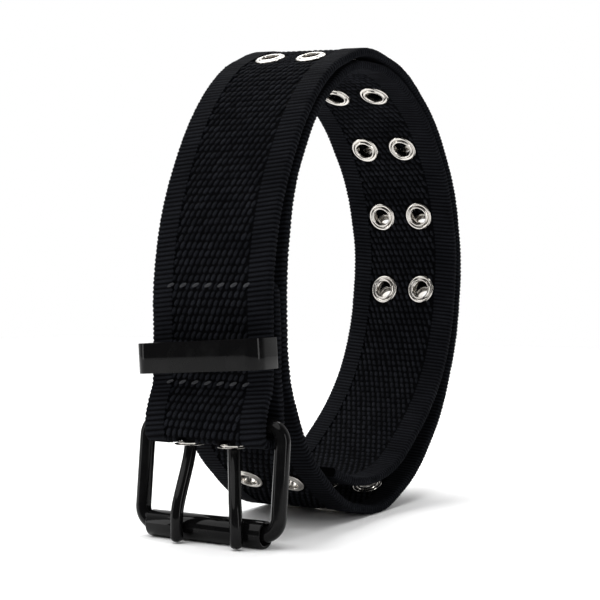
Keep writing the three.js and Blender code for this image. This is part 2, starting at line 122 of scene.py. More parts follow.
# The woven grains: half length, half width and half height, then how they lie and vary
GRAIN_SIZE = (0.00132, 0.00068, 0.00058)
GRAINS_ACROSS = 13
GRAIN_START = 0.0018
GRAIN_LIFT = 0.00055
GRAIN_SIZE_SPREAD = 0.07
GRAIN_PLACE_SPREAD = 0.00007
GRAIN_LOW, GRAIN_HEIGHT = 0.0001, 0.0006
BARE_TIP = 0.0012
PRONG_EYELET_CLEARS = 0.65
BARE_BESIDE_EYE = 0.0032
BARE_ALONG_EYE = 0.012

# The stitches: half sizes, heights of the two rows, and their places across
STITCH_SIZE = (0.00045, 0.00125, 0.00045)
STITCH_ROWS = (0.0682, 0.0421)
STITCH_COUNT = 7
STITCH_START = 0.0128
STITCH_PITCH = 0.0041
STITCH_LIFT = 0.00112
STITCH_LEAN = math.radians(24)

# The buckle's small fits
ROLLER_LIP = 0.00022
PRONG_FROM_ROLLER = 0.0003
EYE_INNER_GAP, EYE_OUTER_GAP = 0.00035, 0.00165
EYE_HALF_WIDTH, EYE_CHAMFER = 0.0015, 0.0003
KEEPER_BACK_GAP = 0.0003
KEEPER_BACK_CORNER = 0.0012
KEEPER_EDGE = 0.00012

# Camera and lights, in metres; a soft light has its name, place, aim and size
CAMERA_PLACE = (-0.34218, -0.19831, 0.0676)
CAMERA_RIGHT = (0.51257, -0.85864, 0)
CAMERA_AHEAD = (0.85861, 0.51255, -0.00924)
SENSOR_WIDTH = 36
FLOOR_SIZE, FLOOR_PLACE = 1.8, (0.15, 0.1, 0)
SKY_DIRECTION = (0.35, -0.25, -1)
SKY_ANGLE = math.radians(70)
BEHIND = (0.8586, 0.5126, 0.1)
KEY_LIGHT = ("key_light", (0.22, 0.13, 0.55), (-0.03, 0, 0.04), (0.45, 0.26))
LEFT_LIGHT = ("left_light", (-0.4, 0.5, 0.2), (-0.03, 0, 0.06), (0.12, 0.5))
RIGHT_LIGHT = ("right_light", (-0.15, -0.62, 0.2), (-0.03, 0, 0.06), (0.12, 0.5))
LEFT_SHARE = 0.6

# Sockets of a Mix node that mixes colours
MIX_FIRST, MIX_SECOND, MIX_RESULT = 6, 7, 2


class WebbingSettings(bpy.types.PropertyGroup):
    width: FloatProperty(
        name="Width", description="Width of the webbing", default=0.038, unit="LENGTH")
    thickness: FloatProperty(
        name="Thickness", description="Thickness at the edge bands", default=0.0026, unit="LENGTH")
    band: FloatProperty(
        name="Edge band", description="Width of each ribbed edge band", default=0.0066, unit="LENGTH")
    rib_pitch: FloatProperty(
        name="Rib pitch", description="Distance between the ribs of the edge bands", default=0.00125,
        unit="LENGTH")
    rib_slant: FloatProperty(
        name="Rib slant", description="Run of a rib along the webbing for each metre across it", default=0.1)
    grain_pitch: FloatProperty(
        name="Grain pitch", description="Distance between the woven grains across", default=0.00185,
        unit="LENGTH")
    row_pitch: FloatProperty(
        name="Row pitch", description="Distance between the woven rows along", default=0.0022, unit="LENGTH")
    grain_slant: FloatProperty(
        name="Grain slant", description="Lean of each grain", default=math.radians(31), subtype="ANGLE")
    colour: FloatVectorProperty(
        name="Yarn", description="Colour of the black yarn", size=3, subtype="COLOR",
        default=(0.0018, 0.002, 0.0026))
    thread_colour: FloatVectorProperty(
        name="Thread", description="Colour of the stitching thread", size=3, subtype="COLOR",
        default=(0.024, 0.025, 0.028))


class CoilSettings(bpy.types.PropertyGroup):
    depth: FloatProperty(name="Depth", description="Front to back", default=0.1226, unit="LENGTH")
    height: FloatProperty(name="Height", description="Height of the coil", default=0.1394, unit="LENGTH")
    layer_gap: FloatProperty(
        name="Layer gap", description="Gap between the two turns", default=0.001, unit="LENGTH")
    rest_sink: FloatProperty(
        name="Rest", description="How far the bottom is flattened where it stands", default=0.0006,
        unit="LENGTH")
    flare: FloatProperty(
        name="Flare", description="How much higher the far edge stands at the top", default=0.0022,
        unit="LENGTH")
    tip_turn: FloatProperty(
        name="Tip", description="Turn in degrees at which the webbing ends", default=659)


class EyeletSettings(bpy.types.PropertyGroup):
    pitch: FloatProperty(
        name="Pitch", description="Distance between pairs along the webbing", default=0.0254, unit="LENGTH")
    row_spacing: FloatProperty(
        name="Row spacing", description="Distance between the two rows", default=0.0139, unit="LENGTH")
    seat: FloatProperty(
        name="Seat", description="Length of straight webbing under a pair", default=0.0115, unit="LENGTH")
    pairs: IntProperty(name="Pairs", description="Number of pairs", default=21)
    first_turn: FloatProperty(
        name="First pair", description="Turn in degrees of the first pair", default=70.8)
    clear_radius: FloatProperty(
        name="Clear radius", description="Radius left free of weave under an eyelet", default=0.0051,
        unit="LENGTH")
    colour: FloatVectorProperty(
        name="Nickel", description="Colour of the plated eyelets", size=3, subtype="COLOR",
        default=(0.56, 0.535, 0.5))


class BuckleSettings(bpy.types.PropertyGroup):
    wire: FloatProperty(
        name="Wire", description="Diameter of the frame's wire", default=0.0045, unit="LENGTH")
    wire_round: FloatProperty(
        name="Round share", description="Diameter of the drawn wire as a share of its facets' reach",
        default=0.95)
    clear_width: FloatProperty(
        name="Clear width", description="Width inside the frame", default=0.0392, unit="LENGTH")
    side_shift: FloatProperty(
        name="Side shift", description="Sideways place of the frame", default=-0.00015, unit="LENGTH")
    drop: FloatProperty(
        name="Drop", description="Distance between the frame's two bars", default=0.0282, unit="LENGTH")
    corner: FloatProperty(
        name="Corner", description="Radius of the frame's corners, at the wire's middle", default=0.0045,
        unit="LENGTH")
    tilt: FloatProperty(
        name="Tilt", description="Forward lean of the frame", default=math.radians(6), subtype="ANGLE")
    roller: FloatProperty(
        name="Roller", description="Diameter of the roller", default=0.0072, unit="LENGTH")
    roller_wall: FloatProperty(
        name="Roller wall", description="Wall of the roller's tube", default=0.00075, unit="LENGTH")
    roller_length: FloatProperty(
        name="Roller length", description="Length of the roller", default=0.0366, unit="LENGTH")
    prong: FloatProperty(
        name="Prong", description="Diameter of the prongs", default=0.0036, unit="LENGTH")
    lean_left: FloatProperty(
        name="Left lean", description="Sideways lean of the far prong", default=0.001, unit="LENGTH")
    lean_right: FloatProperty(
        name="Right lean", description="Sideways lean of the near prong", default=0.006, unit="LENGTH")
    fold_width: FloatProperty(
        name="Fold width", description="Depth of the fold round the bar", default=0.0118, unit="LENGTH")
    fold_room: FloatProperty(
        name="Fold room", description="Room under the bar inside the fold", default=0.0012, unit="LENGTH")
    fold_corner: FloatProperty(
        name="Fold corner", description="Bend radius of the fold's corners", default=0.0021, unit="LENGTH")
    bar_from_leg: FloatProperty(
        name="Bar place", description="How far the bar stands behind the front leg's face", default=0.0021,
        unit="LENGTH")
    tail: FloatProperty(
        name="Tail", description="Length of the folded-back tail", default=0.043, unit="LENGTH")
    tail_corner: FloatProperty(
        name="Tail corner", description="Radius of the tail's rounded corners", default=0.0046, unit="LENGTH")
    keeper_height: FloatProperty(
        name="Keeper height", description="Height of the keeper's strip", default=0.0082, unit="LENGTH")
    keeper_wall: FloatProperty(
        name="Keeper wall", description="Thickness of the keeper's strip", default=0.0005, unit="LENGTH")
    keeper_room: FloatProperty(
        name="Keeper room", description="Room between the keeper's front and the leg", default=0.0069,
        unit="LENGTH")
    keeper_side: FloatProperty(
        name="Keeper side gap", description="Gap beside the webbing in the keeper", default=0.0004,
        unit="LENGTH")
    keeper_rise: FloatProperty(
        name="Keeper rise", description="Height of the keeper's middle", default=0.0496, unit="LENGTH")
    keeper_roll: FloatProperty(
        name="Keeper roll", description="How far the keeper hangs askew", default=math.radians(3.3),
        subtype="ANGLE")
    keeper_corner: FloatProperty(
        name="Keeper corner", description="Radius of the keeper's front corners", default=0.004,
        unit="LENGTH")
    colour: FloatVectorProperty(
        name="Enamel", description="Colour of the black metal", size=3, subtype="COLOR",
        default=(0.003, 0.003, 0.0032))


class StageSettings(bpy.types.PropertyGroup):
    floor_colour: FloatVectorProperty(
        name="Floor", description="Colour of the floor", size=3, subtype="COLOR", default=(0.95, 0.95, 0.95))
    front: FloatProperty(name="Dark side", description="Strength of the light from the front", default=0.12)
    back: FloatProperty(name="White side", description="Strength of the light from behind", default=0.85)
    sky: FloatProperty(name="Sky", description="Strength of the broad light from above", default=2.6)
    key: FloatProperty(name="Key light", description="Power of the large light above", default=2.4)
    side: FloatProperty(name="Side lights", description="Power of the upright lights", default=1.1)
    lens: FloatProperty(name="Lens", description="Focal length in millimetres", default=78.0)


def webbing():
    return bpy.context.scene.belt_webbing


def coil():
    return bpy.context.scene.belt_coil


def eyelets():
    return bpy.context.scene.belt_eyelets


def buckle():
    return bpy.context.scene.belt_buckle


# The path of the webbing


def catmull(points, count):
    """Points along a uniform Catmull-Rom curve through the given ones."""
    points = np.asarray(points, float)
    last = len(points) - 1
    at = np.linspace(0, last, count + 1)
    low = np.minimum(at.astype(int), last - 1)
    t = (at - low)[:, None]
    p0, p1 = points[np.maximum(low - 1, 0)], points[low]
    p2, p3 = points[low + 1], points[np.minimum(low + 2, last)]
    v0, v1 = (p2 - p0) / 2, (p3 - p1) / 2
    return (2 * p1 - 2 * p2 + v0 + v1) * t ** 3 + (3 * p2 - 3 * p1 - 2 * v0 - v1) * t ** 2 + v0 * t + p1


def unit(rows):
    return rows / np.linalg.norm(rows, axis=-1, keepdims=True)


def smooth(points, spread, step):
    """Rounds a dense line's bends, keeping both its ends."""
    reach = int(4 * spread / step)
    share = np.exp(-0.5 * (np.arange(-reach, reach + 1) * step / spread) ** 2)
    share /= share.sum()
    before = 2 * points[0] - points[reach:0:-1]
    after = 2 * points[-1] - points[-2:-reach - 2:-1]
    padded = np.concatenate([before, points, after])
    return np.stack([np.convolve(padded[:, k], share, "valid") for k in range(2)], axis=1)


class BeltPath:
    """Middle line of the webbing in X and Z, in metres, by its length from the tail's end."""

    def __init__(self):
        self.shift = 0.0
        self.place_bar()
        self.sample_coil()
        self.build()
        low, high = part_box("roller")
        self.shift = (low[0] + high[0]) / 2 - self.roller[0]

    def place_bar(self):
        metal, loop = buckle(), coil()
        self.centre = loop.height / 2 - loop.rest_sink
        self.leg = -loop.depth / 2
        down = np.array([-math.sin(metal.tilt), -math.cos(metal.tilt)])
        self.bar = np.array([self.leg + metal.bar_from_leg,
                             metal.roller / 2 + metal.drop * math.cos(metal.tilt)])
        self.roller = self.bar + down * metal.drop
        self.fold_face = self.bar[1] - metal.wire / 2 - metal.fold_room - webbing().thickness

    def coil_point(self, turn, reach):
        """A place on the coil's outer face, the front being turn 0 and the top turn 90."""
        angle = math.radians(turn)
        return np.array([
            -math.cos(angle) * coil().depth / 2 * reach,
            self.centre + math.sin(angle) * coil().height / 2 * reach,
        ])

    def sample_coil(self):
        """Middle line from the front leg round to the tip, with the turn at each of its points."""
        face = [self.coil_point(TURN_STEP * k, reach) for k, reach in enumerate(COIL_REACH)]
        layer = webbing().thickness + coil().layer_gap
        full = 360 // TURN_STEP
        while len(face) < TIP_START // TURN_STEP:
            below = len(face) - full
            run = unit(face[below + 1] - face[below - 1])
            face.append(face[below] + np.array([run[1], -run[0]]) * layer)
        face += [self.coil_point(TIP_START + TURN_STEP * k, reach) for k, reach in enumerate(TIP_REACH)]
        foot = self.bar[1] + buckle().fold_width
        legs = [np.array([self.leg, foot]), np.array([self.leg, (foot + self.centre) / 2])]
        points = legs + face
        last = len(points) - 1
        curve = catmull(points, CURVE_SAMPLES)
        half = webbing().thickness / 2
        run = unit(curve[2:] - curve[:-2])
        middle = curve[1:-1] + np.stack([run[:, 1], -run[:, 0]], axis=1) * half
        middle[:, 1] = np.maximum(middle[:, 1], half)
        share = np.arange(1, CURVE_SAMPLES) / CURVE_SAMPLES
        end = (len(legs) + coil().tip_turn / TURN_STEP) / last
        keep = np.argmax(share > end) + 1
        self.line = middle[:keep]
        self.turns = (share[:keep] * last - len(legs)) * TURN_STEP
        steps = np.linalg.norm(np.diff(self.line, axis=0), axis=1)
        self.lengths = np.concatenate([[0], np.cumsum(steps)])

    def on_line(self, length):
        """The place at a length along the leg and the coil."""
        return np.array([np.interp(length, self.lengths, self.line[:, k]) for k in range(2)])

    def pair_lengths(self):
        first = self.lengths[np.argmax(self.turns >= eyelets().first_turn)]
        return [first + eyelets().pitch * k for k in range(eyelets().pairs)]

    def fold(self):
        """The tail and the fold round the bar, from the tail's end to the foot of the leg."""
        metal, thick = buckle(), webbing().thickness
        half = metal.fold_width / 2 - thick / 2
        bottom = self.fold_face + thick / 2
        room = metal.keeper_wall + TAIL_PLAY
        corner = metal.fold_corner
        points = [(self.leg + thick * 1.5 + room * opening, bottom + corner + metal.tail * along)
                  for along, opening in TAIL_OPENINGS]
        points.append((self.bar[0] + half - FOLD_BACK[0] * thick,
                       self.bar[1] + FOLD_BACK[1] * metal.fold_width))
        for side, start in ((1, 0), (-1, -90)):
            centre = self.bar[0] + side * (half - corner)
            for angle in np.radians(start - np.arange(0, 91, 15)):
                points.append((centre + math.cos(angle) * corner,
                               bottom + corner + math.sin(angle) * corner))
        points += [(self.bar[0] - half + inset * thick, self.bar[1] + rise * metal.fold_width)
                   for inset, rise in FOLD_FRONT]
        return points

    def build(self):
        """Joins fold and coil into one rounded line, straight under each pair of eyelets."""
        seat = eyelets().seat / 2
        edges = [0.0]
        for middle in self.pair_lengths():
            edges += [middle - seat, middle + seat]
        edges.append(self.lengths[-1])
        bends = [0.0]
        for low, high in zip(edges[::2], edges[1::2]):
            steps = max(1, math.ceil((high - low) / LONGEST_STRAIGHT))
            bends += [low + (high - low) * step / steps for step in range(1, steps + 1)]
        fold = self.fold()
        corners = np.array(fold + [tuple(self.on_line(length)) for length in bends])
        run = np.concatenate([[0], np.cumsum(np.linalg.norm(np.diff(corners, axis=0), axis=1))])
        self.leg_start = run[len(fold)]
        count = int(run[-1] / PATH_STEP)
        at = np.linspace(0, run[-1], count + 1)
        dense = np.stack([np.interp(at, run, corners[:, k]) for k in range(2)], axis=1)
        tight = smooth(dense, TIGHT_ROUNDING, PATH_STEP)
        loose = smooth(dense, LOOSE_ROUNDING, PATH_STEP)
        share = np.clip((at - self.leg_start + LOOSENS_BEFORE_LEG) / LOOSENS_OVER, 0, 1)[:, None]
        self.points = tight * (1 - share) + loose * share
        run = unit(np.gradient(self.points, axis=0))
        self.normals = np.stack([-run[:, 1], run[:, 0]], axis=1)
        steps = np.linalg.norm(np.diff(self.points, axis=0), axis=1)
        self.at = np.concatenate([[0], np.cumsum(steps)])
        self.length = float(self.at[-1])
        self.points[:, 1] = np.maximum(self.points[:, 1], webbing().thickness / 2)

    def lift(self, across, height):
        """How much the far edge stands above the near one, growing towards the top."""
        share = np.clip((height - self.centre) / (coil().height / 2), 0, 1)
        return coil().flare * (across / webbing().width + 0.5) * share ** 2

    def bend(self, flat):
        """Carries flat places (along, across, out) onto the coil."""
        along, across, out = flat[:, 0], flat[:, 1], flat[:, 2]
        where = [np.interp(along, self.at, self.points[:, k]) for k in range(2)]
        facing = unit(np.stack([np.interp(along, self.at, self.normals[:, k]) for k in range(2)], axis=1))
        x = where[0] + facing[:, 0] * out
        z = where[1] + facing[:, 1] * out
        return np.stack([x + self.shift, across, z + self.lift(across, z)], axis=1)

    def nearest(self, x, z, low=0.0, high=1.0):
        """Length at which the middle line passes nearest to a place."""
        away = np.hypot(self.points[:, 0] - x, self.points[:, 1] - z)
        away[(self.at < low) | (self.at > high)] = np.inf
        return float(self.at[np.argmin(away)])

    def seat(self, length, row):
        """Middle and outward direction of the flat under an eyelet."""
        half = eyelets().seat / 2
        start, end = self.on_line(length - half), self.on_line(length + half)

        def settled(point, across):
            return Vector((point[0] + self.shift, across, point[1] + float(self.lift(across, point[1]))))
        near, far = settled(start, row), settled(end, row)
        middle = near.lerp(far, 0.5)
        aside = settled((start + end) / 2, row + 0.001) - middle
        return middle, -(far - near).cross(aside).normalized()

    def eyelet_places(self):
        """(along, across) of every eyelet in the flat webbing, the prongs' two first."""
        low = self.nearest(self.bar[0], self.fold_face)
        mouth = self.nearest(self.bar[0] - PRONG_EYELET_BEFORE_BAR, self.fold_face + webbing().thickness / 2,
                             low - SEARCH_REACH, low + SEARCH_REACH)
        rows = (eyelets().row_spacing / 2, -eyelets().row_spacing / 2)
        places = [(mouth, row) for row in rows]
        for length in self.pair_lengths():
            x, z = self.on_line(length)
            guess = self.leg_start + length
            at = self.nearest(x, z, guess - 2 * SEARCH_REACH, guess + 2 * SEARCH_REACH)
            places += [(at, row) for row in rows]
        return places


# Small tools of the bench


def clear_selection():
    if bpy.context.object and bpy.context.object.mode != "OBJECT":
        bpy.ops.object.mode_set(mode="OBJECT")
    bpy.ops.object.select_all(action="DESELECT")


def only(*pieces):
    clear_selection()
    for piece in pieces:
        piece.select_set(True)
    bpy.context.view_layer.objects.active = pieces[0]


def started(name):
    piece = bpy.context.object
    piece.name = name
    piece.data.name = name
    return piece


def settle(piece):
    """Puts the object's place, turn and size into its mesh."""
    only(piece)
    bpy.ops.object.transform_apply(location=True, rotation=True, scale=True)


def apply(piece, kind, **values):
    modifier = piece.modifiers.new(kind.title(), kind)
    for key, value in values.items():
        setattr(modifier, key, value)
    bpy.context.view_layer.objects.active = piece
    bpy.ops.object.modifier_apply(modifier=modifier.name)


def row_of(piece, count, offset, welded=False):
    """Repeats a piece in a row, with what meets welded where that is asked."""
    apply(piece, "ARRAY", fit_type="FIXED_COUNT", count=count, use_relative_offset=False,
          use_constant_offset=True, constant_offset_displace=offset,
          use_merge_vertices=welded, merge_threshold=MERGE_DISTANCE)


def edit(piece, mode="VERT", action="SELECT"):
    """Opens a piece in edit mode with all of it selected, or none."""
    only(piece)
    bpy.ops.object.mode_set(mode="EDIT")
    bpy.ops.mesh.select_mode(type=mode)
    bpy.ops.mesh.select_all(action=action)


def leave_edit():
    bpy.ops.mesh.select_mode(type="VERT")
    bpy.ops.object.mode_set(mode="OBJECT")


def places_of(piece):
    flat = np.empty(len(piece.data.vertices) * 3)
    piece.data.vertices.foreach_get("co", flat)
    return flat.reshape(-1, 3)


def put_places(piece, places):
    piece.data.vertices.foreach_set("co", np.ascontiguousarray(places, float).reshape(-1))
    piece.data.update()


def mark_flat(piece):
    """Keeps the place along and across the flat webbing as the piece's own map."""
    mesh = piece.data
    flat = places_of(piece)
    corner = np.empty(len(mesh.loops), int)
    mesh.loops.foreach_get("vertex_index", corner)
    layer = mesh.uv_layers.get("Weave") or mesh.uv_layers.new(name="Weave")
    layer.data.foreach_set("uv", np.ascontiguousarray(flat[corner][:, :2] * 10).reshape(-1))


def finish(piece, body, material, node=None):
    """Gives a piece its material, body and slot, and hides the CAD node that it stands for."""
    piece.data.materials.clear()
    piece.data.materials.append(material)
    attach(piece, body)
    if node:
        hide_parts(node)


def face_outward(piece, doubles=0.0):
    edit(piece)
    if doubles:
        bpy.ops.mesh.remove_doubles(threshold=doubles)
    bpy.ops.mesh.normals_make_consistent(inside=False)
    leave_edit()


def shade(piece, angle=40):
    only(piece)
    bpy.ops.object.shade_smooth_by_angle(angle=math.radians(angle))


def next_ring(move=(0, 0, 0), size=1.0, centre=(0, 0, 0)):
    """Draws the selected ring out to its next place and size."""
    bpy.ops.mesh.extrude_region_move(TRANSFORM_OT_translate={"value": move})
    if size != 1.0:
        bpy.ops.transform.resize(value=(size, size, size), center_override=centre)


def turned(name, profile, sides):
    """A closed ring turned about Z, from (radius, height) rows."""
    clear_selection()
    first = profile[0]
    bpy.ops.mesh.primitive_circle_add(vertices=sides, radius=first[0], fill_type="NOTHING",
                                      location=(0, 0, first[1]))
    piece = started(name)
    settle(piece)
    edit(piece)
    here = first
    for row in [*profile[1:], first]:
        next_ring((0, 0, row[1] - here[1]), row[0] / here[0], (0, 0, row[1]))
        here = row
    leave_edit()
    face_outward(piece, 1e-6)
    return piece


def copy_to(piece, name, matrix):
    copy = piece.copy()
    copy.data = piece.data.copy()
    copy.name = name
    copy.data.name = name
    copy.data.transform(matrix)
    bpy.context.scene.collection.objects.link(copy)
    return copy


def discard(piece):
    mesh = piece.data
    bpy.data.objects.remove(piece)
    bpy.data.meshes.remove(mesh)


# Materials


def add(tree, kind, inputs=None, **values):
    """A new node with its own settings, then the values of its inputs."""
    node = tree.nodes.new(kind)
    for key, value in values.items():
        setattr(node, key, value)
    for key, value in (inputs or {}).items():
        node.inputs[key].default_value = value
    return node


def connect(tree, *links):
    """Links (node, output, node, input) rows."""
    for source, outlet, target, inlet in links:
        tree.links.new(source.outputs[outlet], target.inputs[inlet])


def finish_group(name, second_colour, factors):
    """A group with two colours and some factors in, and the colour, roughness and normal out."""
    group = bpy.data.node_groups.new(name, "ShaderNodeTree")
    new_socket = group.interface.new_socket
    new_socket(name="Vector", in_out="INPUT", socket_type="NodeSocketVector")
    for colour in ("Colour", second_colour):
        made = new_socket(name=colour, in_out="INPUT", socket_type="NodeSocketColor")
        made.default_value = (0.1, 0.1, 0.1, 1)
    for factor, default, high in factors:
        made = new_socket(name=factor, in_out="INPUT", socket_type="NodeSocketFloat")
        made.default_value = default
        made.min_value, made.max_value = 0, high
    for result, kind in (("Colour", "Color"), ("Roughness", "Float"), ("Normal", "Vector")):
        new_socket(name=result, in_out="OUTPUT", socket_type="NodeSocket" + kind)
    return group, add(group, "NodeGroupInput"), add(group, "NodeGroupOutput")


@functools.cache
def fibre_group():
    """Fuzzy spun yarn: flecks of lighter fibre, which also stand in as painted glints, and the small relief
    of its strands.
    """
    group, inlet, outlet = finish_group(
        "Yarn fibre", "Fleck colour", (("Fleck", 0.3, 1), ("Strand scale", 400, 5000), ("Relief", 0.5, 1)))
    stretch = add(group, "ShaderNodeMapping", {"Scale": (1.0, 3.2, 1.0)})
    strands = add(group, "ShaderNodeTexNoise", {"Detail": 5, "Roughness": 0.65})
    wide = add(group, "ShaderNodeTexNoise", {"Scale": 9, "Detail": 3})
    # Painted highlight in part: the lighter flecks also stand in for the glints of the fibres
    ramp = add(group, "ShaderNodeMapRange", {"From Min": 0.42, "From Max": 0.78})
    patch = add(group, "ShaderNodeMapRange", {
        "From Min": 0.3, "From Max": 0.7, "To Min": 0.55, "To Max": 1.3})
    part = add(group, "ShaderNodeMath", operation="MULTIPLY")
    much = add(group, "ShaderNodeMath", operation="MULTIPLY")
    mix = add(group, "ShaderNodeMix", data_type="RGBA")
    rough = add(group, "ShaderNodeMapRange", {"To Min": 0.98, "To Max": 0.72})
    bump = add(group, "ShaderNodeBump", {"Distance": 0.0002})
    connect(
        group, (inlet, "Vector", stretch, "Vector"), (stretch, 0, strands, "Vector"),
        (inlet, "Strand scale", strands, "Scale"), (inlet, "Vector", wide, "Vector"),
        (strands, 0, ramp, "Value"), (wide, 0, patch, "Value"), (ramp, 0, part, 0), (patch, 0, part, 1),
        (part, 0, much, 0), (inlet, "Fleck", much, 1), (much, 0, mix, "Factor"),
        (inlet, "Colour", mix, MIX_FIRST), (inlet, "Fleck colour", mix, MIX_SECOND),
        (strands, 0, rough, "Value"), (inlet, "Relief", bump, "Strength"), (strands, 0, bump, "Height"),
        (mix, MIX_RESULT, outlet, "Colour"), (rough, 0, outlet, "Roughness"), (bump, 0, outlet, "Normal"))
    return group


@functools.cache
def handling_group():
    """Handled metal: faint rubs and specks that change its gloss and tone."""
    group, inlet, outlet = finish_group(
        "Handling wear", "Rubbed colour",
        (("Rub", 0.1, 1), ("Smooth", 0.1, 1), ("Rough", 0.3, 1), ("Relief", 0.05, 1)))
    cloud = add(group, "ShaderNodeTexNoise", {"Scale": 180, "Detail": 6})
    fine = add(group, "ShaderNodeTexNoise", {"Scale": 1400, "Detail": 3})
    mask = add(group, "ShaderNodeMapRange", {"From Min": 0.5, "From Max": 0.75})
    much = add(group, "ShaderNodeMath", operation="MULTIPLY")
    mix = add(group, "ShaderNodeMix", data_type="RGBA")
    rough = add(group, "ShaderNodeMapRange", {"From Min": 0.35, "From Max": 0.7})
    bump = add(group, "ShaderNodeBump", {"Distance": 0.00005})
    connect(
        group, (inlet, "Vector", cloud, "Vector"), (inlet, "Vector", fine, "Vector"),
        (cloud, 0, mask, "Value"), (mask, 0, much, 0), (inlet, "Rub", much, 1), (much, 0, mix, "Factor"),
        (inlet, "Colour", mix, MIX_FIRST), (inlet, "Rubbed colour", mix, MIX_SECOND),
        (cloud, 0, rough, "Value"), (inlet, "Smooth", rough, "To Min"), (inlet, "Rough", rough, "To Max"),
        (inlet, "Relief", bump, "Strength"), (fine, 0, bump, "Height"),
        (mix, MIX_RESULT, outlet, "Colour"), (rough, 0, outlet, "Roughness"), (bump, 0, outlet, "Normal"))
    return group


def fresh(name):
    material = bpy.data.materials.new(name)
    material.use_nodes = True
    return material, material.node_tree, material.node_tree.nodes["Principled BSDF"]


def yarn_material(name, colour, fleck, share, scale, sheen, crest=False):
    """Spun black yarn, with painted shade darkening its grooves where the piece keeps its crest."""
    material, tree, surface = fresh(name)
    where = add(tree, "ShaderNodeUVMap", uv_map="Weave")
    group = add(tree, "ShaderNodeGroup", node_tree=fibre_group())
    group.inputs["Colour"].default_value = (*colour, 1)
    group.inputs["Fleck colour"].default_value = (*fleck, 1)
    group.inputs["Fleck"].default_value = share
    group.inputs["Strand scale"].default_value = scale
    group.inputs["Relief"].default_value = 0.6
    tint, outlet = group, "Colour"
    if crest:
        # Painted shade: the colour falls to near black in the grooves and rises towards the crests
        height = add(tree, "ShaderNodeAttribute", attribute_name="crest")
        shadow = add(tree, "ShaderNodeMapRange", {"To Min": 0.04, "To Max": 1.6})
        tint, outlet = add(tree, "ShaderNodeVectorMath", operation="SCALE"), 0
        connect(
            tree, (height, "Fac", shadow, "Value"), (group, "Colour", tint, 0), (shadow, 0, tint, "Scale"))
    connect(
        tree, (where, 0, group, "Vector"), (tint, outlet, surface, "Base Color"),
        (group, "Roughness", surface, "Roughness"), (group, "Normal", surface, "Normal"))
    surface.inputs["Sheen Weight"].default_value = sheen
    surface.inputs["Sheen Roughness"].default_value = 0.5
    surface.inputs["Specular IOR Level"].default_value = 0.02
    return material


def metal_material(name, colour, rubbed, rub, smooth_to, rough_to, relief, metallic, gloss=0.5):
    """Bare or enamelled metal with faint marks of handling."""
    material, tree, surface = fresh(name)
    where = add(tree, "ShaderNodeTexCoord")
    group = add(tree, "ShaderNodeGroup", node_tree=handling_group())
    group.inputs["Colour"].default_value = (*colour, 1)
    group.inputs["Rubbed colour"].default_value = (*rubbed, 1)
    group.inputs["Rub"].default_value = rub
    group.inputs["Smooth"].default_value = smooth_to
    group.inputs["Rough"].default_value = rough_to
    group.inputs["Relief"].default_value = relief
    connect(
        tree, (where, "Object", group, "Vector"), (group, "Colour", surface, "Base Color"),
        (group, "Roughness", surface, "Roughness"), (group, "Normal", surface, "Normal"))
    surface.inputs["Metallic"].default_value = metallic
    surface.inputs["Specular IOR Level"].default_value = gloss
    return material


# The fleck colours of these yarns are lighter fibre and in part painted glints of the strands
@functools.cache
def webbing_material():
    # The ground is painted far darker than the grains and bands on it, as painted shade in the gaps between
    # them
    colour = tuple(0.5 * v for v in webbing().colour)
    return yarn_material("Black yarn", colour, (0.01, 0.0105, 0.012), 0.3, 380, 0.0)


@functools.cache
def rib_material():
    colour = tuple(1.6 * v for v in webbing().colour)
    return yarn_material("Black edge rib", colour, (0.034, 0.036, 0.043), 0.5, 340, 0.0, crest=True)


@functools.cache
def grain_material():
    colour = tuple(1.7 * v for v in webbing().colour)
    return yarn_material("Black woven grain", colour, (0.045, 0.047, 0.056), 0.5, 420, 0.0, crest=True)


@functools.cache
def thread_material():
    colour = tuple(webbing().thread_colour)
    return yarn_material("Stitching thread", colour, (0.22, 0.22, 0.23), 0.45, 500, 0.02)


@functools.cache
def nickel_material():
    colour = tuple(eyelets().colour)
    return metal_material("Nickel plate", colour, (0.4, 0.375, 0.34), 0.5, 0.14, 0.24, 0.02, 1.0)


@functools.cache
def enamel_material():
    colour = tuple(buckle().colour)
    return metal_material("Black enamel", colour, (0.012, 0.012, 0.012), 0.3, 0.05, 0.12, 0.03, 0.0, 0.11)


# Webbing

@functools.cache
def belt_path():
    """The one path that every flat piece is bent onto."""
    return BeltPath()


def round_tail(flat):
    """Draws the two corners of the tail's end in to their round."""
    radius, half = buckle().tail_corner, webbing().width / 2
    left = np.clip(radius - flat[:, 0], 0, radius)
    limit = half - radius + np.sqrt(np.maximum(radius ** 2 - left ** 2, 0))
    shrink = np.clip(limit / half, 0.05, 1)
    flat[:, 1] = np.where(flat[:, 0] < radius, flat[:, 1] * shrink, flat[:, 1])
    return flat


def coil_up(piece, slant=0.0):
    """Turns a flat piece of webbing into its place on the coil."""
    mark_flat(piece)
    flat = round_tail(places_of(piece))
    flat[:, 0] = np.clip(flat[:, 0] - slant * flat[:, 1], 0, belt_path().length)
    put_places(piece, belt_path().bend(flat))


def cap_ends(piece):
    """Closes the two open ends."""
    edit(piece, "EDGE", "DESELECT")
    bpy.ops.mesh.select_non_manifold(extend=False)
    bpy.ops.mesh.edge_face_add()
    leave_edit()
    face_outward(piece)


def keep_outline(piece):
    """Leaves only the rim of a flat section, ready to be drawn along."""
    edit(piece, "EDGE")
    bpy.ops.mesh.region_to_loop()
    bpy.ops.mesh.select_all(action="INVERT")
    bpy.ops.mesh.delete(type="EDGE")
    bpy.ops.mesh.select_mode(type="VERT")
    bpy.ops.mesh.select_all(action="SELECT")
    bpy.ops.mesh.delete(type="ONLY_FACE")
    leave_edit()


